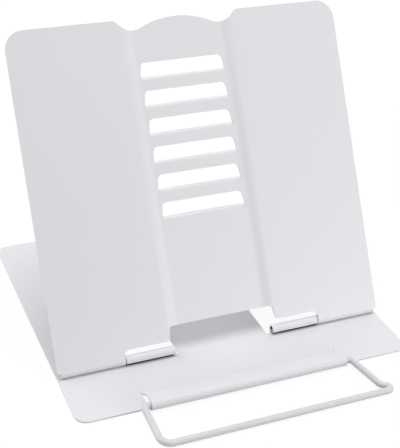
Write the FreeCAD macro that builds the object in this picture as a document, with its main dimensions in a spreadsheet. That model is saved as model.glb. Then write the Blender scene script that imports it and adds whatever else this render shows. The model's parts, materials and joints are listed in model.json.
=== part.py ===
import FreeCAD, Part
import math
import os
import Sketcher

# A folding book and document stand of powder-coated sheet steel. A flat base carries
# a leaning back panel on two rolled hinges, a prop strip behind the panel holds it up
# under one of six shelves, and a wire bail in the base's front curl holds the pages.
#
# Frame: millimetres, +Z up, the reader at -Y. The origin is on the table, in the middle
# of the stand's width, straight below the axis of the panel's hinges.

# Driving dimensions: alias, value, meaning.
SIZES = [
    ("stand_width", 200.0, "width of the base and of the back panel"),
    ("sheet_gauge", 1.0, "thickness of every sheet"),
    ("bend_inside", 1.0, "inside radius of the plain right-angle bends"),
    ("base_ahead", 40.6, "base ahead of the hinge axis"),
    ("base_behind", 149.0, "base behind the hinge axis"),
    ("base_corner", 7.0, "corner radius of the base"),
    ("lean_angle", 28.5, "lean of the panel from upright, degrees"),
    ("panel_rise", 188.8, "height of the panel above the hinge axis"),
    ("panel_corner", 11.0, "radius of the panel's top corners"),
    ("panel_heel", 2.0, "radius of the panel's bottom outer corners"),
    ("pin_radius", 1.5, "radius of the hinge pins"),
    ("pin_clearance", 0.06, "radial clearance of a pin in its rolls"),
    ("roll_gap", 0.3, "gap between a roll and the base under it"),
    ("end_gap", 0.5, "gap between rolls that share one pin"),
    ("barrel_inner", 30.6, "inner end of a panel barrel, from the middle"),
    ("barrel_outer", 60.1, "outer end of a panel barrel, from the middle"),
    ("barrel_sweep", 212.0, "how far a barrel is rolled, degrees"),
    ("hem_inset", 2.0, "outer end of the panel's hem, from the panel's side"),
    ("hem_sweep", 250.0, "how far a hem is rolled, degrees"),
    ("pin_inset", 4.0, "how deep a pin's ends stand inside its rolls"),
    ("window_inside", 2.6, "room beside a barrel's inner end in its window"),
    ("window_outside", 6.5, "room beside a barrel's outer end in its window"),
    ("window_back", 32.0, "rear edge of a barrel's window, behind the hinge axis"),
    ("window_corner", 4.0, "corner radius of the windows"),
    ("notch_rise", 5.8, "top of the notch over a barrel, above the hinge axis"),
    ("notch_corner", 3.0, "corner radius of the notch's outer end"),
    ("tunnel_half", 33.4, "half the width of the gap between the wings' feet"),
    ("tunnel_flare", 1.3, "how much narrower that gap is at its top, each side"),
    ("tunnel_rise", 14.0, "lower edge of the channel, above the hinge axis"),
    ("tunnel_corner", 1.6, "corner radius of that gap"),
    ("channel_half", 27.5, "half the width of the channel's flat floor"),
    ("channel_ramp", 4.5, "width of the ramp at each side of the channel"),
    ("channel_depth", 1.6, "how far the floor is set back from the wings"),
    ("ramp_radius", 9.0, "inside radius of the ramps' bends"),
    ("shoulder_half", 37.0, "half the width of the dip in the top edge"),
    ("shoulder_corner", 1.5, "corner radius at the dip's ends"),
    ("valley_half", 28.8, "half the distance between the valleys' vertices"),
    ("valley_drop", 8.2, "valleys' vertices below the panel's top"),
    ("valley_radius", 10.5, "radius of the two valleys"),
    ("crest_lift", 4.4, "crest's vertex above the panel's top"),
    ("crest_radius", 51.0, "radius of the crest between the valleys"),
    ("slot_count", 6, "number of slots, each with a shelf behind it"),
    ("slot_drop", 32.7, "highest shelf's upper face below the panel's top"),
    ("slot_pitch", 16.0, "distance from one slot to the next"),
    ("slot_height", 7.9, "open height of a slot above its shelf"),
    ("slot_side", 1.6, "flat floor beside a slot, at its shelf"),
    ("slot_taper", 1.2, "how much narrower a slot is at its top, each side"),
    ("slot_corner", 3.0, "radius of a slot's top corners and a shelf's tip"),
    ("lance_gap", 0.25, "gap between a shelf and the sides of its slot"),
    ("prop_setback", 6.0, "prop's hinge axis ahead of the base's rear edge"),
    ("prop_side", 1.7, "how much narrower the prop is than a slot's top, each side"),
    ("prop_corner", 4.0, "corner radius of the prop's free end"),
    ("prop_tip_gap", 0.45, "gap between the prop's tip and the panel, and its shelf"),
    ("prop_sweep", 250.0, "how far the prop's foot is rolled, degrees"),
    ("prop_pin_inset", 1.0, "how deep the prop pin's ends stand in its knuckles"),
    ("knuckle_width", 12.0, "width of a prop knuckle"),
    ("knuckle_window", 13.0, "length of a prop knuckle's window"),
    ("wire_radius", 1.9, "radius of the bail's wire"),
    ("wire_play", 0.15, "radial play of the wire in the curl"),
    ("curl_ahead", 0.6, "curl's axis ahead of the base's front edge"),
    ("curl_lift", 0.15, "curl's underside above the table"),
    ("curl_half", 58.6, "half the width of the curl"),
    ("curl_shift", 1.4, "how far the curl and its bail stand left of the middle"),
    ("curl_sweep", 235.0, "how far the curl is rolled, degrees"),
    ("curl_flat", 4.8, "level sheet between the curl and the slope behind it"),
    ("rise_angle", 36.0, "slope of the base up to that level, degrees"),
    ("rise_radius", 2.5, "inside radius of the bends above and below the slope"),
    ("relief_width", 0.5, "width of the cut at each end of the curl"),
    ("relief_depth", 0.5, "how far that cut runs past the slope's foot"),
    ("elbow_gap", 1.3, "gap from the curl's ends to the wire's elbows"),
    ("bail_reach", 30.9, "bail's length from the curl's axis"),
    ("splay_left", 0.4, "how far the left arm's tip stands out"),
    ("splay_right", 14.3, "how far the right arm's tip stands out"),
    ("knee_splay", 5.2, "how far the right arm's knee stands out"),
    ("knee_reach", 25.3, "right arm's knee from the curl's axis"),
    ("knee_inside", 2.1, "inside radius of that knee"),
    ("elbow_inside", 0.6, "inside radius of the wire's elbows at the curl"),
    ("corner_left", 4.1, "inside radius of the bail's left front corner"),
    ("corner_right", 0.2, "inside radius of the bail's right front corner"),
    ("wire_split", 2.0, "gap between the wire's ends inside the curl"),
]

# What follows from the driving dimensions, as expressions on the sheet.
GAUGE = "Sizes.sheet_gauge"
ROLL_IN = "(Sizes.pin_radius + Sizes.pin_clearance)"
ROLL_OUT = f"({ROLL_IN} + {GAUGE})"
BEND_OUT = f"(Sizes.bend_inside + {GAUGE})"
HINGE_Z = f"({GAUGE} + Sizes.roll_gap + {ROLL_OUT})"
CURL_IN = "(Sizes.wire_radius + Sizes.wire_play)"
CURL_OUT = f"({CURL_IN} + {GAUGE})"
CURL_Y = "(-Sizes.base_ahead - Sizes.curl_ahead)"
CURL_Z = f"({CURL_OUT} + Sizes.curl_lift)"
HALF = "(Sizes.stand_width / 2)"
HEM_START = "(Sizes.barrel_outer + Sizes.end_gap)"
HEM_END = f"({HALF} - Sizes.hem_inset)"
FOLD_LINE = f"({ROLL_OUT} - {BEND_OUT})"
WING_FRONT = f"(-{ROLL_OUT})"
FLOOR_FRONT = f"(Sizes.channel_depth - {ROLL_OUT})"
FLOOR_BACK = f"({FLOOR_FRONT} + {GAUGE})"
RAMP_ANGLE = "atan(Sizes.channel_depth / Sizes.channel_ramp)"
RAMP_SHIFT = f"({GAUGE} * tan({RAMP_ANGLE} / 2))"
SHELF_FLAT = f"(Sizes.slot_height + {BEND_OUT} - pi / 2 * (Sizes.bend_inside + {GAUGE} / 2))"
SHELF_TIP = f"({FLOOR_FRONT} + {BEND_OUT} + {SHELF_FLAT})"
SLOT_FIRST = "(Sizes.panel_rise - Sizes.slot_drop - (Sizes.slot_count - 1) * Sizes.slot_pitch)"
SLOT_FOOT = "(Sizes.channel_half - Sizes.slot_side)"
SLOT_HEAD = f"({SLOT_FOOT} - Sizes.slot_taper)"
PROP_PIVOT = "(Sizes.base_behind - Sizes.prop_setback)"
PROP_HALF = f"({SLOT_HEAD} - Sizes.prop_side)"
KNUCKLE_START = f"({PROP_HALF} + Sizes.end_gap)"
BAIL_HALF = "(Sizes.curl_half + Sizes.elbow_gap + Sizes.elbow_inside + Sizes.wire_radius)"
CURL_LEFT = "(-Sizes.curl_half - Sizes.curl_shift)"

# The prop swings clear of the panel's floor by its tip gap and stops under the lowest
# shelf. PIVOT_BACK and PIVOT_UP place its pivot square to and along the panel.
PIVOT_BACK = f"({PROP_PIVOT} * cos(Sizes.lean_angle))"
PIVOT_UP = f"({PROP_PIVOT} * sin(Sizes.lean_angle))"
PROP_REACH = f"({PIVOT_BACK} - {FLOOR_BACK} - Sizes.prop_tip_gap)"
PROP_LENGTH = f"sqrt({PROP_REACH} ^ 2 - {ROLL_OUT} ^ 2)"
PROP_TOP = f"sqrt({PROP_REACH} ^ 2 - {ROLL_OUT} ^ 2 + {ROLL_IN} ^ 2)"
PROP_STOP = f"({SLOT_FIRST} - {GAUGE} - Sizes.prop_tip_gap - {PIVOT_UP})"
PROP_ANGLE = (
    f"(Sizes.lean_angle * 1 deg + asin({PROP_STOP} / {PROP_TOP}) + asin({ROLL_IN} / {PROP_TOP}))"
)
BAIL_DROP = f"asin(({CURL_Z} - Sizes.wire_radius) / Sizes.bail_reach)"

# The base steps up behind the curl: a bend, a slope, a bend and a level stretch.
# STEP_RISE is how far it steps up, and STEP_BENDS is what the two bends take of that.
STEP_RISE = f"({CURL_Z} + {CURL_OUT} - {GAUGE})"
BEND_SPAN = f"(2 * Sizes.rise_radius + {GAUGE})"
STEP_BENDS = f"({BEND_SPAN} * (1 - cos(Sizes.rise_angle)))"
STEP_SLOPE = f"(({STEP_RISE} - {STEP_BENDS}) / sin(Sizes.rise_angle))"
STEP_RUN = f"({BEND_SPAN} * sin(Sizes.rise_angle) + {STEP_SLOPE} * cos(Sizes.rise_angle))"
STEP_TOP = f"({CURL_Y} + Sizes.curl_flat)"
STEP_FOOT = f"({STEP_TOP} + {STEP_RUN})"

SHARP = "0"
KEEP_OUT = 10  # how far a trimming sketch reaches past the sheet that it trims

doc = FreeCAD.newDocument("book_stand")


def make_sizes():
    """The sheet of driving dimensions."""
    sheet = doc.addObject("Spreadsheet::Sheet", "Sizes")
    for row, (alias, value, meaning) in enumerate(SIZES, start=1):
        sheet.set(f"A{row}", meaning)
        sheet.set(f"B{row}", str(value))
        sheet.setAlias(f"B{row}", alias)
    doc.recompute()
    return sheet


sizes = make_sizes()


def number(expression):
    """The present value of an expression on the sheet."""
    value = sizes.evalExpression(expression)
    return float(getattr(value, "Value", value))


def drive(thing, **expressions):
    """Binds properties to expressions: a double underscore in a name stands for a dot."""
    for name, expression in expressions.items():
        thing.setExpression(name.replace("__", "."), expression)


# ---------------------------------------------------------------- sketches


def new_body(name):
    """An empty body with its own label."""
    body = doc.addObject("PartDesign::Body", name)
    body.Label = name
    return body


def new_sketch(body, name, plane, offset=None):
    """A sketch on one of the body's origin planes, moved along the plane's normal."""
    sketch = body.newObject("Sketcher::SketchObject", name)
    support = next(item for item in body.Origin.OriginFeatures if item.Role == plane)
    sketch.AttachmentSupport = [(support, "")]
    sketch.MapMode = "FlatFace"
    if offset:
        sketch.setExpression("AttachmentOffset.Base.z", offset)
    return sketch


def bind(sketch, expression, *constraint):
    """Adds a dimension to the sketch and binds it to an expression."""
    index = sketch.addConstraint(Sketcher.Constraint(*constraint, number(expression)))
    sketch.setExpression(f"Constraints[{index}]", expression)


def place_point(sketch, geometry, end, corner):
    """Fixes a point of the sketch at a corner's two coordinates."""
    bind(sketch, corner[0], "DistanceX", geometry, end)
    bind(sketch, corner[1], "DistanceY", geometry, end)


def corner_cut(before, here, after, radius):
    """Where an arc in a corner meets its two sides, its centre and if it turns left."""
    back = (before - here).normalize()
    ahead = (after - here).normalize()
    reach = radius / math.tan(back.getAngle(ahead) / 2)
    centre = here + (back + ahead).normalize() * math.hypot(reach, radius)
    turns_left = (here - before).cross(after - here).z > 0
    return here + back * reach, here + ahead * reach, centre, turns_left


def polyline(sketch, corners, closed=True):
    """Draws lines through corners given as (x, y, radius) expressions, with an arc in
    each corner that has a radius, and dimensions every corner and radius."""
    spots = [FreeCAD.Vector(number(x), number(y), 0) for x, y, _ in corners]
    radii = [number(radius) for _, _, radius in corners]
    count = len(spots)
    starts, ends, arcs = list(spots), list(spots), {}
    for i, radius in enumerate(radii):
        if radius > 0:
            cut = corner_cut(spots[i - 1], spots[i], spots[(i + 1) % count], radius)
            ends[i], starts[i] = cut[0], cut[1]
            arcs[i] = cut
    sides = count if closed else count - 1
    lines = []
    for i in range(sides):
        line = Part.LineSegment(starts[i], ends[(i + 1) % count])
        lines.append(sketch.addGeometry(line, False))
    for i in range(count):
        inward = lines[i - 1] if closed or i else None
        outward = lines[i] if i < sides else None
        if i in arcs:
            round_corner(sketch, inward, outward, corners[i], spots[i], arcs[i])
        elif outward is None:
            place_point(sketch, inward, 2, corners[i])
        else:
            place_point(sketch, outward, 1, corners[i])
            if inward is not None:
                sketch.addConstraint(Sketcher.Constraint("Coincident", inward, 2, outward, 1))


def round_corner(sketch, inward, outward, corner, spot, cut):
    """An arc of the corner's radius, tangent to the two lines that point at it."""
    first, last, centre, turns_left = cut
    circle = Part.Circle(centre, FreeCAD.Vector(0, 0, 1), first.distanceToPoint(centre))
    if turns_left:
        arc = Part.ArcOfCircle(circle, circle.parameter(first), circle.parameter(last))
        first_end, last_end = 1, 2
    else:
        arc = Part.ArcOfCircle(circle, circle.parameter(last), circle.parameter(first))
        first_end, last_end = 2, 1
    bow = sketch.addGeometry(arc, False)
    vertex = sketch.addGeometry(Part.Point(spot), True)
    place_point(sketch, vertex, 1, corner)
    sketch.addConstraint(Sketcher.Constraint("PointOnObject", vertex, 1, inward))
    sketch.addConstraint(Sketcher.Constraint("PointOnObject", vertex, 1, outward))
    sketch.addConstraint(Sketcher.Constraint("Tangent", inward, 2, bow, first_end))
    sketch.addConstraint(Sketcher.Constraint("Tangent", outward, 1, bow, last_end))
    bind(sketch, corner[2], "Radius", bow)


def mirrored(corners):
    """Corners on the right, and then the same corners on the left, in reverse."""
    left = [(f"-({x})", y, radius) for x, y, radius in reversed(corners) if x != "0"]
    return corners + left


# ---------------------------------------------------------------- features


def pad(body, sketch, name, length, symmetric=False):
    """Raises a sketch into a solid."""
    feature = body.newObject("PartDesign::Pad", name)
    feature.Profile = sketch
    feature.SideType = "Symmetric" if symmetric else "One side"
    feature.setExpression("Length", length)
    return feature


def pocket(body, sketch, name):
    """Cuts a sketch right through, both ways from its plane."""
    feature = body.newObject("PartDesign::Pocket", name)
    feature.Profile = sketch
    feature.Type = "ThroughAll"
    feature.SideType = "Symmetric"
    return feature


def mirror_across(body, name, originals):
    """Repeats features on the other side of the stand's middle plane."""
    feature = body.newObject("PartDesign::Mirrored", name)
    feature.Originals = originals
    middle = next(item for item in body.Origin.OriginFeatures if item.Role == "YZ_Plane")
    feature.MirrorPlane = (middle, [""])
    body.Tip = feature
    return feature


def along_x(turn="0"):
    """A rotation that lays a primitive's axis along X. Its angles then start at the
    rear and go over the top to the front, and turn adds to them."""
    lay = "rotation(vector(1; 1; 1); 120)"
    return f"rotation(vector(1; 0; 0); {turn}) * {lay}"


def place(thing, x, y, z, rotation="rotation(vector(1; 0; 0); 0)"):
    """Binds a placement to expressions."""
    thing.setExpression("Placement", f"placement(vector({x}; {y}; {z}); {rotation})")


def rolled(name, x, width, centre, radii, start, sweep):
    """Sheet bent round an axis along X: from angle start on, for sweep degrees."""
    y, z = centre
    inside, outside = radii
    wall = doc.addObject("Part::Cylinder", f"{name}_wall")
    drive(wall, Radius=outside, Height=width, Angle=sweep)
    place(wall, x, y, z, along_x(start))
    hollow = doc.addObject("Part::Cylinder", f"{name}_hollow")
    drive(hollow, Radius=inside, Height=width)
    place(hollow, x, y, z, along_x())
    roll = doc.addObject("Part::Cut", name)
    roll.Base = wall
    roll.Tool = hollow
    return roll


def block(name, low, size):
    """A box from its low corner and its size."""
    box = doc.addObject("Part::Box", name)
    drive(box, Length=size[0], Width=size[1], Height=size[2])
    place(box, *low)
    return box


def joined(name, pieces):
    """One piece of metal from touching solids."""
    fuse = doc.addObject("Part::MultiFuse", name)
    fuse.Label = name
    fuse.Shapes = pieces
    fuse.Refine = True
    return fuse


def pin(name, x, length, y):
    """A plain round pin along X at the height of the hinges."""
    rod = doc.addObject("Part::Cylinder", name)
    rod.Label = name
    drive(rod, Radius="Sizes.pin_radius", Height=length)
    place(rod, x, y, HINGE_Z, along_x())
    return rod


# ---------------------------------------------------------------- base plate


def base_side(side):
    """The base's corners on one side, from its curl to the rear. Side is 1 or -1."""
    half = f"({side} * {HALF})"
    end = f"({side} * Sizes.curl_half - Sizes.curl_shift)"
    cut = f"({side} * (Sizes.curl_half + Sizes.relief_width) - Sizes.curl_shift)"
    root = f"({STEP_FOOT} + Sizes.relief_depth)"
    return [
        (end, STEP_FOOT, SHARP),
        (end, root, SHARP),
        (cut, root, SHARP),
        (cut, "-Sizes.base_ahead", SHARP),
        (half, "-Sizes.base_ahead", "Sizes.base_corner"),
        (half, "Sizes.base_behind", "Sizes.base_corner"),
    ]


def base_blank():
    """The flat sheet of the base: its outline, and the windows that its tabs leave."""
    body = new_body("base_blank")
    outline = new_sketch(body, "base_outline", "XY_Plane")
    polyline(outline, base_side("1") + base_side("-1")[::-1])
    pad(body, outline, "base_sheet", GAUGE)

    barrel_window = new_sketch(body, "barrel_window", "XY_Plane")
    inner = "(Sizes.barrel_inner - Sizes.window_inside)"
    outer = "(Sizes.barrel_outer + Sizes.window_outside)"
    rectangle(barrel_window, inner, outer, FOLD_LINE, "Sizes.window_back", lead=SHARP)
    front_cut = pocket(body, barrel_window, "barrel_window_cut")

    knuckle_window = new_sketch(body, "knuckle_window", "XY_Plane")
    inner = f"({KNUCKLE_START} - Sizes.end_gap)"
    outer = f"({KNUCKLE_START} + Sizes.knuckle_width + Sizes.end_gap)"
    back = f"({PROP_PIVOT} - {FOLD_LINE})"
    front = f"({back} - Sizes.knuckle_window)"
    rectangle(knuckle_window, inner, outer, front, back, lead="Sizes.bend_inside", trail=SHARP)
    rear_cut = pocket(body, knuckle_window, "knuckle_window_cut")
    mirror_across(body, "windows_left", [front_cut, rear_cut])
    return body


def rectangle(sketch, left, right, front, back, lead, trail="Sizes.window_corner"):
    """A rectangle, with one corner radius at its front and one at its back."""
    polyline(
        sketch,
        [
            (left, front, lead),
            (right, front, lead),
            (right, back, trail),
            (left, back, trail),
        ],
    )


def knuckle(name, x, width, pivot, riser_behind, sweep):
    """A tab bent up from the base and rolled over its pin. Its riser stands behind the
    pin or, where the tab comes from the rear, ahead of it."""
    side = "1" if riser_behind else "-1"
    foot_y = f"({pivot} + {side} * {FOLD_LINE})"
    riser_y = f"({pivot} + {ROLL_IN})" if riser_behind else f"({pivot} - {ROLL_OUT})"
    roll_start = "0" if riser_behind else f"180 - {sweep}"
    foot = rolled(
        f"{name}_foot",
        x,
        width,
        (foot_y, BEND_OUT),
        ("Sizes.bend_inside", BEND_OUT),
        "270" if riser_behind else "180",
        "90",
    )
    rise = f"({HINGE_Z} - {BEND_OUT})"
    riser = block(f"{name}_riser", (x, riser_y, BEND_OUT), (width, GAUGE, rise))
    roll = rolled(
        f"{name}_roll", x, width, (pivot, HINGE_Z), (ROLL_IN, ROLL_OUT), roll_start, sweep
    )
    return [foot, riser, roll]


def front_curl():
    """The step up from the flat base, and the curl round the wire at its end."""
    left, width = CURL_LEFT, "2 * Sizes.curl_half"
    radii = ("Sizes.rise_radius", f"(Sizes.rise_radius + {GAUGE})")
    angle = "Sizes.rise_angle"
    low_centre = (STEP_FOOT, f"({GAUGE} + Sizes.rise_radius)")
    low_bend = rolled("step_low_bend", left, width, low_centre, radii, f"270 - {angle}", angle)
    high_z = f"({CURL_Z} + {CURL_OUT} - Sizes.rise_radius - {GAUGE})"
    high_bend = rolled(
        "step_high_bend", left, width, (STEP_TOP, high_z), radii, f"90 - {angle}", angle
    )
    slope = doc.addObject("Part::Box", "step_slope")
    drive(slope, Length=width, Width=STEP_SLOPE, Height=GAUGE)
    slope_y = f"({STEP_TOP} + Sizes.rise_radius * sin({angle}))"
    slope_z = f"({high_z} + Sizes.rise_radius * cos({angle}))"
    place(slope, left, slope_y, slope_z, f"rotation(vector(1; 0; 0); -{angle})")
    level_low = (left, CURL_Y, f"({CURL_Z} + {CURL_IN})")
    level = block("step_level", level_low, (width, "Sizes.curl_flat", GAUGE))
    curl_centre, curl_radii = (CURL_Y, CURL_Z), (CURL_IN, CURL_OUT)
    sweep = "Sizes.curl_sweep"
    curl = rolled("curl_roll", left, width, curl_centre, curl_radii, "90", sweep)
    return [low_bend, slope, high_bend, level, curl]


def base_plate():
    """The base with its front curl, two barrels for the panel and two for the prop."""
    barrel_width = "(Sizes.barrel_outer - Sizes.barrel_inner)"
    knuckle_width = "Sizes.knuckle_width"
    pieces = [base_blank()] + front_curl()
    for side, start in (("left", "-Sizes.barrel_outer"), ("right", "Sizes.barrel_inner")):
        sweep = "Sizes.barrel_sweep"
        pieces += knuckle(f"barrel_{side}", start, barrel_width, "0", True, sweep)
    left_start = f"(-{KNUCKLE_START} - Sizes.knuckle_width)"
    for side, start in (("left", left_start), ("right", KNUCKLE_START)):
        name = f"prop_knuckle_{side}"
        sweep = "Sizes.barrel_sweep"
        pieces += knuckle(name, start, knuckle_width, PROP_PIVOT, False, sweep)
    return joined("base_plate", pieces)


# ---------------------------------------------------------------- back panel


def panel_sheet(body):
    """Two flat wings and the channel between them, as one bent sheet stood upright."""
    section = new_sketch(body, "panel_section", "XY_Plane")
    foot = "Sizes.channel_half"
    head = "(Sizes.channel_half + Sizes.channel_ramp)"
    inside = "Sizes.ramp_radius"
    outside = f"(Sizes.ramp_radius + {GAUGE})"
    wing_back = f"({WING_FRONT} + {GAUGE})"
    front = [
        (foot, FLOOR_FRONT, inside),
        (head, WING_FRONT, outside),
        (HALF, WING_FRONT, SHARP),
    ]
    back = [
        (HALF, wing_back, SHARP),
        (f"({head} + {RAMP_SHIFT})", wing_back, inside),
        (f"({foot} + {RAMP_SHIFT})", FLOOR_BACK, outside),
    ]
    polyline(section, mirrored(front + back))
    pad(body, section, "panel_blank", "Sizes.panel_rise + Sizes.crest_lift")


def panel_outline(body):
    """Trims the sheet: waved top edge, round corners, and the open foot."""
    sketch = new_sketch(body, "panel_outline", "XZ_Plane")
    top = "Sizes.panel_rise"
    crest = ("0", f"({top} + Sizes.crest_lift)", "Sizes.crest_radius")
    corner = "Sizes.tunnel_corner"
    right = [
        ("(Sizes.tunnel_half - Sizes.tunnel_flare)", "Sizes.tunnel_rise", corner),
        ("Sizes.tunnel_half", "Sizes.notch_rise", corner),
        (HEM_START, "Sizes.notch_rise", "Sizes.notch_corner"),
        (HEM_START, "0", SHARP),
        (HALF, "0", "Sizes.panel_heel"),
        (HALF, top, "Sizes.panel_corner"),
        ("Sizes.shoulder_half", top, "Sizes.shoulder_corner"),
        ("Sizes.valley_half", f"({top} - Sizes.valley_drop)", "Sizes.valley_radius"),
    ]
    polyline(sketch, mirrored(right + [crest]))
    far = f"({HALF} + {KEEP_OUT})"
    high = f"({top} + {KEEP_OUT})"
    low = f"-{KEEP_OUT}"
    frame = [(f"-{far}", low), (far, low), (far, high), (f"-{far}", high)]
    polyline(sketch, [(x, y, SHARP) for x, y in frame])
    pocket(body, sketch, "panel_trim")


def panel_slots(body):
    """The lowest slot and the shelf that is bent back from it, repeated up the panel."""
    base = f"({SLOT_FIRST} - {BEND_OUT})"
    top = f"({SLOT_FIRST} + Sizes.slot_height)"
    opening = new_sketch(body, "slot_outline", "XZ_Plane")
    sides = [(SLOT_FOOT, base, SHARP), (SLOT_HEAD, top, "Sizes.slot_corner")]
    polyline(opening, mirrored(sides))
    slot = pocket(body, opening, "slot_cut")

    fold = new_sketch(body, "shelf_fold", "YZ_Plane")
    root = f"({FLOOR_FRONT} + {BEND_OUT})"
    under = f"({SLOT_FIRST} - {GAUGE})"
    lap, over = f"({base} - {GAUGE})", f"({root} + {GAUGE})"
    polyline(
        fold,
        [
            (FLOOR_FRONT, lap, SHARP),
            (FLOOR_BACK, lap, SHARP),
            (FLOOR_BACK, under, "Sizes.bend_inside"),
            (over, under, SHARP),
            (over, SLOT_FIRST, SHARP),
            (FLOOR_FRONT, SLOT_FIRST, BEND_OUT),
        ],
    )
    half = f"({SLOT_FOOT} - Sizes.lance_gap)"
    bend = pad(body, fold, "shelf_bend", f"2 * {half}", symmetric=True)

    plan = new_sketch(body, "shelf_plan", "XY_Plane", offset=under)
    tip_half = f"({half} - Sizes.slot_taper)"
    leaf = [(half, root, SHARP), (tip_half, SHELF_TIP, "Sizes.slot_corner")]
    polyline(plan, mirrored(leaf))
    shelf = pad(body, plan, "shelf", GAUGE)
    return repeat_up(body, [slot, bend, shelf])


def repeat_up(body, originals):
    """Repeats features up the panel at the slots' pitch."""
    feature = body.newObject("PartDesign::LinearPattern", "ladder")
    feature.Originals = originals
    upright = next(item for item in body.Origin.OriginFeatures if item.Role == "Z_Axis")
    feature.Direction = (upright, [""])
    drive(feature, Length="(Sizes.slot_count - 1) * Sizes.slot_pitch")
    drive(feature, Occurrences="Sizes.slot_count")
    body.Tip = feature
    return feature


def back_panel():
    """The leaning panel, with a rolled hem at the foot of each wing."""
    body = new_body("panel_body")
    panel_sheet(body)
    panel_outline(body)
    panel_slots(body)
    pieces = [body]
    width = f"({HEM_END} - {HEM_START})"
    for side, start in (("left", f"-{HEM_END}"), ("right", HEM_START)):
        radii = (ROLL_IN, ROLL_OUT)
        name = f"hem_{side}"
        pieces.append(rolled(name, start, width, ("0", "0"), radii, "180", "Sizes.hem_sweep"))
    panel = joined("back_panel", pieces)
    place(panel, "0", "0", HINGE_Z, "rotation(vector(1; 0; 0); -Sizes.lean_angle)")
    return panel


# ---------------------------------------------------------------- prop, pins and bail


def prop_strip():
    """The strut behind the panel, made flat and forward from its pin, then raised."""
    body = new_body("prop_leaf")
    plan = new_sketch(body, "prop_plan", "XY_Plane", offset=f"-{ROLL_OUT}")
    foot = (PROP_HALF, "0", SHARP)
    tip = (PROP_HALF, f"-{PROP_LENGTH}", "Sizes.prop_corner")
    polyline(plan, mirrored([foot, tip]))
    pad(body, plan, "prop_sheet", GAUGE)
    width = f"2 * {PROP_HALF}"
    radii = (ROLL_IN, ROLL_OUT)
    left = f"-{PROP_HALF}"
    roll = rolled("prop_roll", left, width, ("0", "0"), radii, "270", "Sizes.prop_sweep")
    prop = joined("prop_strip", [body, roll])
    turn = f"rotation(vector(1; 0; 0); -{PROP_ANGLE})"
    place(prop, "0", PROP_PIVOT, HINGE_Z, turn)
    return prop


def pins():
    """Two pins for the panel, and one through the prop and both of its knuckles."""
    inner = "(Sizes.barrel_inner + Sizes.pin_inset)"
    outer = f"({HEM_END} - Sizes.pin_inset)"
    length = f"({outer} - {inner})"
    knuckle_end = f"({KNUCKLE_START} + Sizes.knuckle_width - Sizes.prop_pin_inset)"
    return [
        pin("hinge_pin_left", f"-{outer}", length, "0"),
        pin("hinge_pin_right", inner, length, "0"),
        pin("prop_pin", f"-{knuckle_end}", f"2 * {knuckle_end}", PROP_PIVOT),
    ]


def wire_bend(inside):
    """The radius of the wire's middle line in a bend of a named inside radius."""
    return f"(Sizes.{inside} + Sizes.wire_radius)"


def bail_wire():
    """One wire, from the middle of the curl round the page stop and back. Its right arm
    leans out to a knee, and is bent sharply back from there."""
    body = new_body("bail_wire")
    spine = new_sketch(body, "bail_path", "XY_Plane")
    split, half = "(Sizes.wire_split / 2)", BAIL_HALF
    tip = "-Sizes.bail_reach"
    polyline(
        spine,
        [
            (split, "0", SHARP),
            (half, "0", wire_bend("elbow_inside")),
            (f"({half} + Sizes.knee_splay)", "-Sizes.knee_reach", wire_bend("knee_inside")),
            (f"({half} + Sizes.splay_right)", tip, wire_bend("corner_right")),
            (f"-({half} + Sizes.splay_left)", tip, wire_bend("corner_left")),
            (f"-{half}", "0", wire_bend("elbow_inside")),
            (f"-{split}", "0", SHARP),
        ],
        closed=False,
    )
    profile = new_sketch(body, "bail_section", "YZ_Plane", offset=split)
    ring = Part.Circle(FreeCAD.Vector(0, 0, 0), FreeCAD.Vector(0, 0, 1), number("Sizes.wire_radius"))
    section = profile.addGeometry(ring, False)
    profile.addConstraint(Sketcher.Constraint("Coincident", section, 3, -1, 1))
    bind(profile, "Sizes.wire_radius", "Radius", section)
    doc.recompute()
    wire = body.newObject("PartDesign::AdditivePipe", "bail_pipe")
    wire.Profile = profile
    wire.Spine = (spine, [f"Edge{i + 1}" for i in range(len(spine.Shape.Edges))])
    wire.Transition = "Transformed"
    turn = f"rotation(vector(1; 0; 0); {BAIL_DROP})"
    place(body, "-Sizes.curl_shift", CURL_Y, CURL_Z, turn)
    return body


def faults(piece):
    """What is wrong with a finished piece, if anything."""
    if "Invalid" in piece.State or "Error" in piece.State:
        return "is in error"
    if piece.Shape.isNull() or not piece.Shape.isValid():
        return "has no valid shape"
    if len(piece.Shape.Solids) != 1:
        return f"has {len(piece.Shape.Solids)} solids"
    return None


pieces = [base_plate(), back_panel(), prop_strip(), bail_wire()] + pins()
doc.recompute()
for item in doc.Objects:
    if "Invalid" in item.State or "Error" in item.State:
        raise RuntimeError(f"{item.Name} is in error")
os.makedirs("parts", exist_ok=True)
for piece in pieces:
    fault = faults(piece)
    if fault:
        raise RuntimeError(f"{piece.Label} {fault}")
    piece.Shape.exportStep(f"parts/{piece.Label}.step")
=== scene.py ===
# %% [markdown]
# # A folding book stand of powder-coated sheet steel
#
# The stand is three bent sheets and one bent wire: a flat base, a panel that leans back
# on two rolled hinges, a prop behind the panel, and a wire bail that holds the pages.
# Steel pins run through the rolls.
#
# The model that this script loads already has every piece at its real size, and says
# which pieces move. So the shapes are not made again here. What is left is the finish:
# the soft edges that paint gives to punched steel, the coat itself, shade painted into
# the rolls and the slit under them as dark metal, and a plain studio to look at it in.

# %% Load the model
import json
import math

import bmesh
import bpy
from mathutils import Euler, Matrix, Vector


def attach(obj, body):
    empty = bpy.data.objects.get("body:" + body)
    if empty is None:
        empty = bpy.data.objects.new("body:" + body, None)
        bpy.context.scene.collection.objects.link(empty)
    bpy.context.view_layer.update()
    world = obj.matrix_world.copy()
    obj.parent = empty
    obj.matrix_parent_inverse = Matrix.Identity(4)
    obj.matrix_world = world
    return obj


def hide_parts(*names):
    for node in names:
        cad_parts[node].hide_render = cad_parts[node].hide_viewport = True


MM = 0.001

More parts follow.
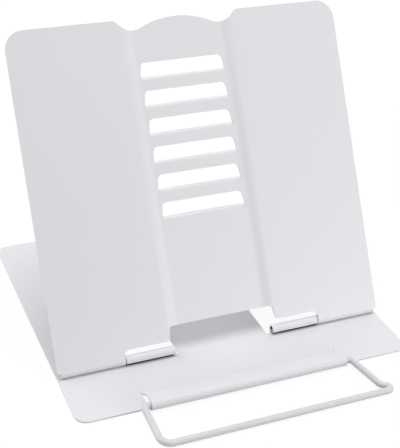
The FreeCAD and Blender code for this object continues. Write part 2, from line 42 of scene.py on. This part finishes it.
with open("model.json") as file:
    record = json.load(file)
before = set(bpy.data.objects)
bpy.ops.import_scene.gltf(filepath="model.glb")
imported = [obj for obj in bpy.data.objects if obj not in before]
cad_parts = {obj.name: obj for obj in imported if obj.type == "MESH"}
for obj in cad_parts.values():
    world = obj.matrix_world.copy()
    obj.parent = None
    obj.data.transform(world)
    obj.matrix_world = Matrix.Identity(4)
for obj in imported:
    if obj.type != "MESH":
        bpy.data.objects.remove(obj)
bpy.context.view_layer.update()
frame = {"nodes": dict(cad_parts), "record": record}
nodes = frame["nodes"]
body_of = {
    node: body
    for body, names in frame["record"]["behaviour"]["bodies"].items()
    for node in names
}
print("pieces:", ", ".join(sorted(nodes)))

# %% [markdown]
# ## Soft edges
#
# Sheet steel is punched with crisp edges. Powder paint then melts in the oven and flows
# round them before it sets, so on the finished stand every edge is a narrow round that
# catches the light. A knife-sharp edge gives computer graphics away.
#
# A Bevel modifier could round the edges, but the loaded meshes are loose triangles with
# nothing between them to round. So each piece is copied, its triangles are joined, its
# flat areas are made whole, and one bmesh bevel rounds only the edges that turn sharply.
# The rolled hinges turn a little at every facet, so they stay as they are.
#
# Smooth shading blends the directions of neighbouring faces, and on its own it would
# draw faint folds across the flat steel, out from every rounded corner. A Weighted
# Normal modifier lets the larger face decide, so flat steel looks flat.

# %% Copy a piece and join its triangles
WELD = 0.002 * MM
FLAT = math.radians(0.4)  # faces that turn less than this are one flat face


def joined_copy(node):
    """A bmesh of a piece, with its loose triangles welded into whole faces."""
    bm = bmesh.new()
    bm.from_mesh(nodes[node].data)
    bmesh.ops.remove_doubles(bm, verts=bm.verts, dist=WELD)
    bmesh.ops.dissolve_limit(
        bm,
        angle_limit=FLAT,
        use_dissolve_boundaries=False,
        verts=bm.verts,
        edges=bm.edges,
    )
    return bm


# %% Round the sharp edges
CREASE = math.radians(38)  # an edge that turns more than this is a cut edge
ROUND_STEPS = 3


def round_edges(bm, radius):
    """Bevels the cut edges, and marks the middle of each round in an "edge" layer."""
    sharp = [edge for edge in bm.edges if edge.calc_face_angle(0) > CREASE]
    made = bmesh.ops.bevel(
        bm,
        geom=sharp,
        offset=radius,
        offset_type="OFFSET",
        affect="EDGES",
        segments=ROUND_STEPS,
        profile=0.5,
        clamp_overlap=True,
        material=-1,
    )
    rounds = set(made["faces"])
    layer = bm.verts.layers.float.new("edge")
    for vert in bm.verts:
        vert[layer] = float(all(face in rounds for face in vert.link_faces))
    return len(sharp)


# %% Make the finished piece
def softened(node, radius):
    """A copy of a piece with soft edges, riding where the piece rides."""
    bm = joined_copy(node)
    rounded = round_edges(bm, radius)
    for face in bm.faces:
        face.smooth = True
    mesh = bpy.data.meshes.new(f"{node}_finished")
    bm.to_mesh(mesh)
    bm.free()
    piece = bpy.data.objects.new(mesh.name, mesh)
    bpy.context.collection.objects.link(piece)
    piece.modifiers.new("flat_stays_flat", "WEIGHTED_NORMAL").mode = "FACE_AREA"
    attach(piece, body_of[node])
    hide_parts(node)
    print(piece.name, len(mesh.polygons), "faces,", rounded, "edges rounded")
    return piece


# %% The three sheets
SHEET_EDGE = 0.24 * MM

sheets = [softened(node, SHEET_EDGE) for node in ("base_plate", "back_panel", "prop_strip")]

# %% [markdown]
# ## Pins
#
# The hinge pins are cut from drawn steel rod, and a tumbler takes the burrs off their
# ends. The same two steps make them here: the end circles are the only sharp edges of a
# pin, so the bevel that softened the sheets turns them into small chamfers.

# %% The three pins
PIN_EDGE = 0.3 * MM

pins = [softened(node, PIN_EDGE) for node in ("hinge_pin_left", "hinge_pin_right", "prop_pin")]

# %% [markdown]
# ## Shader maths
#
# The finishes are node materials, worked out from where a point is on the piece. Adding
# nodes one at a time is long-winded to write and to read. A small class that wraps a
# socket lets ordinary arithmetic add the Math nodes, so a mask reads like a formula, and
# its method "node" adds a node of any other kind.


# %% Wrap a socket in arithmetic
class Value:
    """A shader socket that adds nodes when it is used in a formula."""

    def __init__(self, tree, socket):
        self.tree = tree
        self.socket = socket

    def give(self, socket, value):
        """Links a Value to an input, or writes a plain number or colour into it."""
        if isinstance(value, Value):
            self.tree.links.new(value.socket, socket)
        else:
            socket.default_value = value

    def node(self, kind, settings=None, output=0, **inputs):
        """Adds a node: its settings first, then its inputs. Gives one of its outputs."""
        node = self.tree.nodes.new(kind)
        for name, setting in (settings or {}).items():
            setattr(node, name, setting)
        usable = [socket for socket in node.inputs if socket.enabled]
        for name, value in inputs.items():
            socket = next(s for s in usable if s.name.replace(" ", "_") == name)
            self.give(socket, value)
        return Value(self.tree, node.outputs[output])

    def maths(self, operation, first, second):
        """Adds one Math node of two operands."""
        node = self.tree.nodes.new("ShaderNodeMath")
        node.operation = operation
        for socket, value in zip(node.inputs, (first, second)):
            self.give(socket, value)
        return Value(self.tree, node.outputs[0])

    def __add__(self, other):
        return self.maths("ADD", self, other)

    def __radd__(self, other):
        return self.maths("ADD", other, self)

    def __sub__(self, other):
        return self.maths("SUBTRACT", self, other)

    def __rsub__(self, other):
        return self.maths("SUBTRACT", other, self)

    def __mul__(self, other):
        return self.maths("MULTIPLY", self, other)

    def __rmul__(self, other):
        return self.maths("MULTIPLY", other, self)

    def __pow__(self, other):
        return self.maths("POWER", self, other)

    def __abs__(self):
        return self.maths("ABSOLUTE", self, 0)


# %% Start a material and join it to its shader
def new_material(name):
    """An empty material, and the Object coordinates that its finish is worked out from."""
    material = bpy.data.materials.new(name)
    material.use_nodes = True
    tree = material.node_tree
    place = tree.nodes.new("ShaderNodeTexCoord")
    return material, Value(tree, place.outputs["Object"])


def feed(place, **inputs):
    """Gives the Principled shader its inputs: a link for a Value, else a plain number."""
    shader = place.tree.nodes["Principled BSDF"]
    for name, value in inputs.items():
        place.give(shader.inputs[name.replace("_", " ")], value)


# %% Small helpers for masks and colours
def noise(place, scale, detail=2.0):
    """Soft random values, about 0.5 on average."""
    return place.node("ShaderNodeTexNoise", Vector=place, Scale=scale, Detail=detail)


def fade(value, start, end):
    """0 up to start, 1 from end, and a smooth rise between them."""
    settings = {"interpolation_type": "SMOOTHSTEP"}
    low, high = min(start, end), max(start, end)
    rise = value.node("ShaderNodeMapRange", settings, Value=value, From_Min=low, From_Max=high)
    return rise if start < end else 1 - rise


COLOUR_OUTPUT = 2  # a Mix node has an output for each kind of data


def between(first, second, factor):
    """Mixes two colours."""
    a, b = (c if isinstance(c, Value) else (*c, 1) for c in (first, second))
    settings = {"data_type": "RGBA"}
    return factor.node("ShaderNodeMix", settings, COLOUR_OUTPUT, Factor=factor, A=a, B=b)


def part_of(place, axis):
    """One coordinate of a place: 0 for x, 1 for y, 2 for z."""
    return place.node("ShaderNodeSeparateXYZ", output=axis, Vector=place)


# %% [markdown]
# ## Powder coat
#
# White powder paint is sprayed on dry with an electric charge, then baked. Three things
# tell it from a plain white surface. The melt sets with a fine orange peel, which breaks
# up reflections. Its tone and gloss drift a little over a hand's width. It draws thin on
# sharp edges. Shade is also painted into the coat: the inside of the rolls and the strip
# of base under them are given a dark, dull metal colour, which is painted shade, so that
# the slit below a hinge looks black.
#
# A picture of paint could be wrapped round the pieces, but noise worked out from each
# point's own place needs no picture, has no seams, and stays sharp close up.

# %% Where shade is painted: inside the rolls, and on the base under them
ROLL_AXIS_Z = 3.86 * MM  # the height of all three pins
ROLL_INSIDE = (1.75 * MM, 2.05 * MM)  # painted shade up to the first radius, none from the second
HEM_END = 98 * MM  # the hem's open ends, from the middle
SHADE_INSET = (1.5 * MM, 6.0 * MM)  # no painted shade this far into those ends, and full painted shade from the second
HINGE_SPAN = (31.4 * MM, 60.4 * MM)  # the two ends of the strip of painted shade, from the middle
SLIT_FRONT = -1.1 * MM  # the strip's front and rear, from the hinge axis
SLIT_BACK = 2.2 * MM
SLIT_TOP = 1.12 * MM  # just above the upper face of the base
SOFT = 0.3 * MM  # how far the painted shade takes to fade out


def roll_painted_shade(place, axis_y=0.0):
    """Painted shade: 1 inside the rolls that turn on an axis, and 0 outside them."""
    y = part_of(place, 1) - axis_y
    z = part_of(place, 2) - ROLL_AXIS_Z
    inside = fade((y * y + z * z) ** 0.5, ROLL_INSIDE[1], ROLL_INSIDE[0])
    return inside * fade(abs(part_of(place, 0)), HEM_END - SHADE_INSET[0], HEM_END - SHADE_INSET[1])


def slit_painted_shade(place):
    """Painted shade: 1 on the strip of base that the two hinges cover."""
    x = abs(part_of(place, 0))
    y = part_of(place, 1)
    z = part_of(place, 2)
    inner, outer = HINGE_SPAN
    along = fade(x, inner - SOFT, inner) * fade(x, outer + SOFT, outer)
    across = fade(y, SLIT_FRONT - SOFT, SLIT_FRONT) * fade(y, SLIT_BACK + SOFT, SLIT_BACK)
    return along * across * fade(z, SLIT_TOP + SOFT, SLIT_TOP)


# %% Orange peel
PEEL_DEPTH = 0.03 * MM
PEEL_STRENGTH = 0.15
SWELL_SCALE = 1250.0  # swells about 0.8 mm across
GRAIN_SCALE = 5200.0  # and a grain of about 0.2 mm over them
GRAIN_SHARE = 0.35


def bump(height, strength, depth):
    """Turns a height into a bump for a Normal input."""
    return height.node("ShaderNodeBump", Strength=strength, Distance=depth, Height=height)


def orange_peel(place):
    """A bump of slow swells, with a finer grain over them."""
    swell = noise(place, SWELL_SCALE, detail=1.0)
    grain = noise(place, GRAIN_SCALE, detail=1.0)
    return bump(swell + grain * GRAIN_SHARE, PEEL_STRENGTH, PEEL_DEPTH)


# %% The tone of the paint
DRIFT_SCALE = 14.0  # the tone drifts over about 70 mm
DRIFT_TONE = 0.015  # lighter and darker by this share
THIN_SCALE = 300.0  # along an edge, the paint thins in patches of about 3 mm
THIN_LEAST = 0.25
THIN_PATCHES = 0.5
THIN_TONE = 0.9  # steel shows through as a darker white


def shade(colour, amount):
    """A colour made lighter or darker."""
    return tuple(min(part * amount, 1) for part in colour)


def paint_tone(place, white, drift):
    """The colour of the paint, and how thin it lies: 0 on the flat and up to 0.75."""
    edge = place.node("ShaderNodeAttribute", {"attribute_name": "edge"}, "Fac")
    flat = between(shade(white, 1 - DRIFT_TONE), shade(white, 1 + DRIFT_TONE), drift)
    thin = edge * (THIN_LEAST + THIN_PATCHES * noise(place, THIN_SCALE))
    return between(flat, shade(white, THIN_TONE), thin), thin


# %% The gloss of the paint
HANDLING_SCALE = 55.0  # hands and cloths leave the gloss uneven over about 20 mm
HANDLING_DETAIL = 4.0
HANDLING_GLOSS = 0.08
DRIFT_GLOSS = 0.06
THIN_GLOSS = 0.06


def paint_roughness(place, rough, drift, thin):
    """A roughness that wanders about a middle value, and is less on the edges."""
    handling = noise(place, HANDLING_SCALE, HANDLING_DETAIL)
    lowest = rough - (DRIFT_GLOSS + HANDLING_GLOSS) / 2
    return drift * DRIFT_GLOSS + handling * HANDLING_GLOSS + lowest - thin * THIN_GLOSS


# %% Mix the paint and the painted shade
# the dark colour that is painted in as shade in the rolls and under them
SHADE_DARK = (0.045, 0.045, 0.05)
SHADE_METALLIC = 0.6  # the painted shade is also made part metallic, and dull
SHADE_ROUGHER = 0.1  # rougher than the paint by this much


def powder_coat(name, white, rough, painted_shade=None):
    """White powder paint, with a mask for where a dark colour is painted in as shade."""
    material, place = new_material(name)
    drift = noise(place, DRIFT_SCALE)
    colour, thin = paint_tone(place, white, drift)
    roughness = paint_roughness(place, rough, drift, thin)
    if painted_shade is not None:
        # painted shade: where the mask is, the colour turns dark and dull metal
        mask = painted_shade(place)
        colour = between(colour, SHADE_DARK, mask)
        roughness = roughness + mask * SHADE_ROUGHER
        feed(place, Metallic=mask * SHADE_METALLIC)
    feed(place, Base_Color=colour, Roughness=roughness, Normal=orange_peel(place))
    print(name, len(material.node_tree.nodes), "nodes")
    return material


# %% Where shade is painted on each sheet
PROP_AXIS_Y = 143 * MM  # the prop turns this far behind the hinge axis


def base_painted_shade(place):
    """Painted shade in the base's rolls for all three pins, and on the strip under the front
    ones.
    """
    painted_shade = roll_painted_shade(place) + roll_painted_shade(place, PROP_AXIS_Y) + slit_painted_shade(place)
    return fade(painted_shade, 0.0, 1.0)


def prop_painted_shade(place):
    """Painted shade in the prop's rolled foot."""
    return roll_painted_shade(place, PROP_AXIS_Y)


# %% Coat the sheets and the wire
WHITE = (0.8, 0.794, 0.822)
SATIN = 0.42
WIRE_WHITE = (0.715, 0.71, 0.73)  # the wire is a shade darker than the sheets
WIRE_SATIN = 0.38

# each sheet gets its painted shade: the panel's lies inside its rolls and hem
for piece, painted_shade in zip(sheets, (base_painted_shade, roll_painted_shade, prop_painted_shade)):
    piece.data.materials.append(powder_coat(f"{piece.name}_coat", WHITE, SATIN, painted_shade))
nodes["bail_wire"].data.materials[0] = powder_coat("bail_wire_coat", WIRE_WHITE, WIRE_SATIN)

# %% [markdown]
# ## Drawn steel
#
# A drawn rod has faint lines along its length, where the die scratched it, and a thin
# film of oil that greys it here and there. Noise that is squeezed across the rod and
# stretched along it gives the lines, and the same noise moves the roughness, so that
# the highlight breaks up lengthways as it does on the real rod.

# %% Lines and oil
ALONG_THE_ROD = (0.02, 1.0, 1.0)  # the rods lie along x, and x counts for a fiftieth
LINE_SCALE = 4200.0  # lines about 0.2 mm apart
FILM_SCALE = 120.0  # patches of oil about 8 mm across
FILM_EDGE = (0.45, 0.7)  # the noise values where a patch begins, and where it is whole

rod_steel, place = new_material("drawn_steel")
squeezed = place.node("ShaderNodeMapping", Vector=place, Scale=ALONG_THE_ROD)
lines = noise(squeezed, LINE_SCALE)
film = fade(noise(place, FILM_SCALE), *FILM_EDGE)

# %% Finish the pins
ROD = (0.5, 0.5, 0.51)
OILED = (0.36, 0.35, 0.34)
LINE_TONE = 0.8
ROD_ROUGH = 0.25
LINE_ROUGHER = 0.2
FILM_ROUGHER = 0.08
LINE_STRENGTH = 0.3
LINE_DEPTH = 0.02 * MM

feed(
    place,
    Base_Color=between(between(ROD, shade(ROD, LINE_TONE), lines), OILED, film),
    Metallic=1.0,
    Roughness=ROD_ROUGH + lines * LINE_ROUGHER + film * FILM_ROUGHER,
    Normal=bump(lines, LINE_STRENGTH, LINE_DEPTH),
)
for pin in pins:
    pin.data.materials.append(rod_steel)
print("pins finished:", len(pins))

# %% [markdown]
# ## The floor
#
# A product like this is shown on paper that is so bright it merges with the background,
# yet still takes a soft shadow. More light would do that and spoil the stand's white at
# the same time. So the floor is a mix: an ordinary matt paper, which light and shadow
# fall on, and a plain white glow, which only the camera and reflections see. The share
# of paper sets how dark the shadow is. It fades to nothing further out, so that no
# horizon shows where the lamps reach no more.

# %% Lay the paper
FLOOR_SIZE = 8  # metres
FLOOR_DROP = 0.1 * MM  # below the stand, so that the two faces do not flicker
PAPER = (0.6, 0.6, 0.6, 1)
PAPER_ROUGH = 0.9

bpy.ops.mesh.primitive_plane_add(size=FLOOR_SIZE)
floor = bpy.context.object
floor.name = "floor"
floor.location.z = -FLOOR_DROP
paper, place = new_material("floor_paper")
feed(place, Base_Color=PAPER, Roughness=PAPER_ROUGH, Specular_IOR_Level=0.0)
floor.data.materials.append(paper)
print("floor", FLOOR_SIZE, "m wide")


# %% Tell the rays apart
def seen_ray(value):
    """1 for what the camera sees, straight or in metal or glass."""
    rays = [
        value.node("ShaderNodeLightPath", output=name)
        for name in ("Is Camera Ray", "Is Glossy Ray", "Is Transmission Ray")
    ]
    return value.maths("MINIMUM", rays[0] + rays[1] + rays[2], 1.0)


def blend_shaders(value, factor, first, second):
    """Mixes two shaders and gives the result."""
    mix = value.tree.nodes.new("ShaderNodeMixShader")
    for socket, source in zip(mix.inputs, (factor, first, second)):
        value.give(socket, source)
    return Value(value.tree, mix.outputs[0])


# %% Let the paper glow
SHADOW = 0.18  # the share of the paper that shows light and shadow
PAPER_FADES = (0.3, 1.0)  # metres from the stand where that share starts and ends to fade
GLOW = 1.1

matt = Value(place.tree, place.tree.nodes["Principled BSDF"].outputs[0])
glow = place.node("ShaderNodeEmission", Strength=GLOW)
x, y = part_of(place, 0), part_of(place, 1)
share = SHADOW * fade((x * x + y * y) ** 0.5, PAPER_FADES[1], PAPER_FADES[0])
surface = blend_shaders(place, seen_ray(place) * (1 - share), matt, glow)
place.give(place.tree.nodes["Material Output"].inputs["Surface"], surface)
print(paper.name, len(place.tree.nodes), "nodes")

# %% [markdown]
# ## Light
#
# The studio is a pale room with large soft lamps, so shadows have no hard edge. The room
# fills the shadows, and the lamps tell the faces apart. The one above lights the base
# more than the panel, which leans away from it. The low one at the front right and the
# one at the side light the panel's front and the wire. The two behind, of which the left
# is the stronger, light the base behind the panel and send a soft band of light under it.
# The one at the rear left is also the largest. A small one of the same power would mirror
# in the satin paint as a patch of plain white, and the base's edge would be lost in it.

# %% The room
ROOM = (0.985, 0.99, 1.0, 1)
ROOM_LIGHT = 0.35
BACKDROP = (1, 1, 1, 1)  # what the camera and reflections see in place of the room

world = bpy.data.worlds.new("studio")
bpy.context.scene.world = world
world.use_nodes = True
walls = world.node_tree.nodes["Background"]
room = Value(world.node_tree, walls.outputs[0])
room.give(walls.inputs["Color"], ROOM)
room.give(walls.inputs["Strength"], ROOM_LIGHT)
backdrop = room.node("ShaderNodeBackground", Color=BACKDROP)
surface = blend_shaders(room, seen_ray(room), room, backdrop)
room.give(world.node_tree.nodes["World Output"].inputs["Surface"], surface)
print("room light", ROOM_LIGHT)


# %% A soft lamp
def softbox(name, place, size, power, target):
    """A square area lamp that faces a target: places and size in metres, power in watts."""
    data = bpy.data.lights.new(name, "AREA")
    data.size = size
    data.energy = power
    lamp = bpy.data.objects.new(name, data)
    bpy.context.collection.objects.link(lamp)
    lamp.location = place
    lamp.rotation_euler = (Vector(place) - Vector(target)).to_track_quat("Z", "Y").to_euler()
    print(name, "lamp", power, "W")


# %% Hang the lamps
HINGES = (0, 0, 0.05)  # two spots that the lamps face
BEHIND = (0, 0.1, 0)

softbox("over", place=(0, 0, 1.3), size=0.8, power=8.4, target=HINGES)
softbox("back_left", place=(-0.9, 0.9, 0.5), size=1.3, power=8.2, target=BEHIND)
softbox("back_right", place=(0.9, 0.9, 0.6), size=0.8, power=1.55, target=BEHIND)
softbox("front_right", place=(0.6, -0.8, 0.15), size=0.5, power=3.9, target=HINGES)
softbox("side", place=(1.2, 0, 0.3), size=0.5, power=0.3, target=HINGES)

# %% [markdown]
# ## Camera
#
# The stand is seen from the front, a little to its left and from above, with a long
# lens from about 0.6 metres, so that its sides run nearly parallel. The camera also leans
# two degrees to one side, as a camera held by hand does.

# %% Place the camera
CAMERA_AT = Vector((-216.3, -468.23, 371.89)) * MM
LENS = 87.1  # millimetres, on a sensor of the usual 36
AZIMUTH = math.radians(-23.0)
ELEVATION = math.radians(29.5)
ROLL = math.radians(2.0)

lens = bpy.data.cameras.new("camera")
lens.lens = LENS
camera = bpy.data.objects.new("camera", lens)
bpy.context.collection.objects.link(camera)
turn = Euler((math.pi / 2 - ELEVATION, 0, AZIMUTH)).to_matrix() @ Matrix.Rotation(ROLL, 3, "Z")
camera.matrix_world = Matrix.Translation(CAMERA_AT) @ turn.to_4x4()
bpy.context.scene.camera = camera
bpy.context.scene.view_settings.view_transform = "Standard"
print("camera at", tuple(round(part, 3) for part in camera.location), "m")
